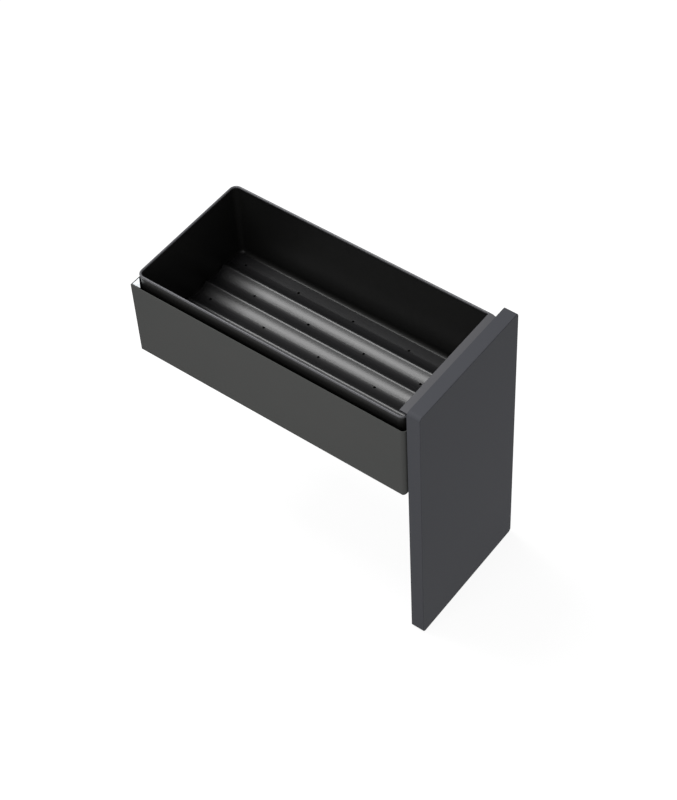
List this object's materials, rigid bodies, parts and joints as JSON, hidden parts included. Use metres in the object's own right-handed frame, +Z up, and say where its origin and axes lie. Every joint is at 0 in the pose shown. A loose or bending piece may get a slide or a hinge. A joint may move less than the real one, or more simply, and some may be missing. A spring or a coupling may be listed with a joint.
{
  "type": "trash drawer with lift-out bin",
  "caption": "Pull-out trash drawer unit: tall flat front panel, sheet-steel tray on ball runners, and a lift-out bin with a corrugated drained floor.",
  "frame": {"origin": "centre of the four screw holes in the base rails' feet, on the plane that the base frame stands on", "axes": "+X is the width, +Y runs from the front panel to the back of the drawer, +Z is up; the drawer pulls out along -Y"},
  "size_m": [0.296, 0.627, 0.62],
  "materials": {
    "panel_paint": "satin charcoal powder coat, fine texture",
    "tray_paint": "satin charcoal powder coat",
    "bin_enamel": "semi-gloss black baked enamel",
    "drain_enamel": "satin black enamel over rolled sheet",
    "grip_paint": "satin grey powder coat",
    "zinc_steel": "bright zinc-plated rolled steel",
    "inner_steel": "plain galvanised sheet",
    "bearing_steel": "polished ball steel",
    "black_rubber": "matt EPDM",
    "grey_acetal": "moulded acetal",
    "black_nylon": "moulded nylon"
  },
  "bodies": {
    "base": {"base_rail_left": "zinc_steel", "base_rail_right": "zinc_steel", "cabinet_rail_left": "zinc_steel", "cabinet_rail_right": "zinc_steel", "front_tie": "zinc_steel", "rear_tie": "zinc_steel", "tie_rivets": "zinc_steel", "base_rivets": "zinc_steel", "rear_buffers": "black_rubber"},
    "middle_rails": {"middle_rail_left": "zinc_steel", "middle_rail_right": "zinc_steel"},
    "outer_cages": {"outer_ball_cages": "grey_acetal", "outer_balls": "bearing_steel"},
    "inner_cages": {"inner_ball_cages": "grey_acetal", "inner_balls": "bearing_steel"},
    "drawer": {"front_skin": "panel_paint", "panel_backing": "inner_steel", "panel_stiffeners": "inner_steel", "panel_bolts": "zinc_steel", "panel_spacers": "zinc_steel", "panel_nuts": "zinc_steel", "stay_screws": "zinc_steel", "panel_bumpers": "black_rubber", "front_gasket": "black_rubber", "tray_wrapper": "tray_paint", "tray_back": "tray_paint", "tray_floor": "tray_paint", "floor_stiffener": "inner_steel", "corner_gussets": "inner_steel", "tray_rivets": "tray_paint", "bin_locators": "black_nylon", "rest_pads": "black_rubber", "panel_stay_left": "zinc_steel", "panel_stay_right": "zinc_steel", "drawer_rail_left": "zinc_steel", "drawer_rail_right": "zinc_steel", "drawer_rail_rivets": "tray_paint"},
    "bin": {"bin_walls": "bin_enamel", "bin_bottom": "bin_enamel", "bin_rim": "grip_paint", "grip_rail": "grip_paint", "grip_rivets": "zinc_steel"},
    "drain_plate": {"drain_floor": "drain_enamel", "drain_feet": "black_rubber"}
  },
  "joints": [
    {"name": "drawer_slide", "type": "slide", "parent": "base", "child": "drawer", "axis": [0, -1, 0], "range_m": [0, 0.5]},
    {"name": "middle_rail_slide", "type": "slide", "parent": "base", "child": "middle_rails", "axis": [0, -1, 0], "range_m": [0, 0.25]},
    {"name": "outer_cage_roll", "type": "slide", "parent": "base", "child": "outer_cages", "axis": [0, -1, 0], "range_m": [0, 0.125]},
    {"name": "inner_cage_roll", "type": "slide", "parent": "base", "child": "inner_cages", "axis": [0, -1, 0], "range_m": [0, 0.375]},
    {"name": "bin_lift", "type": "slide", "parent": "drawer", "child": "bin", "axis": [0, 0, 1], "range_m": [0, 0.25]},
    {"name": "drain_floor_lift", "type": "slide", "parent": "bin", "child": "drain_plate", "axis": [0, 0, 1], "range_m": [0, 0.14]}
  ],
  "couplings": [
    {"joint": "middle_rail_slide", "follows": "drawer_slide", "ratio": 0.5},
    {"joint": "outer_cage_roll", "follows": "drawer_slide", "ratio": 0.25},
    {"joint": "inner_cage_roll", "follows": "drawer_slide", "ratio": 0.75}
  ]
}
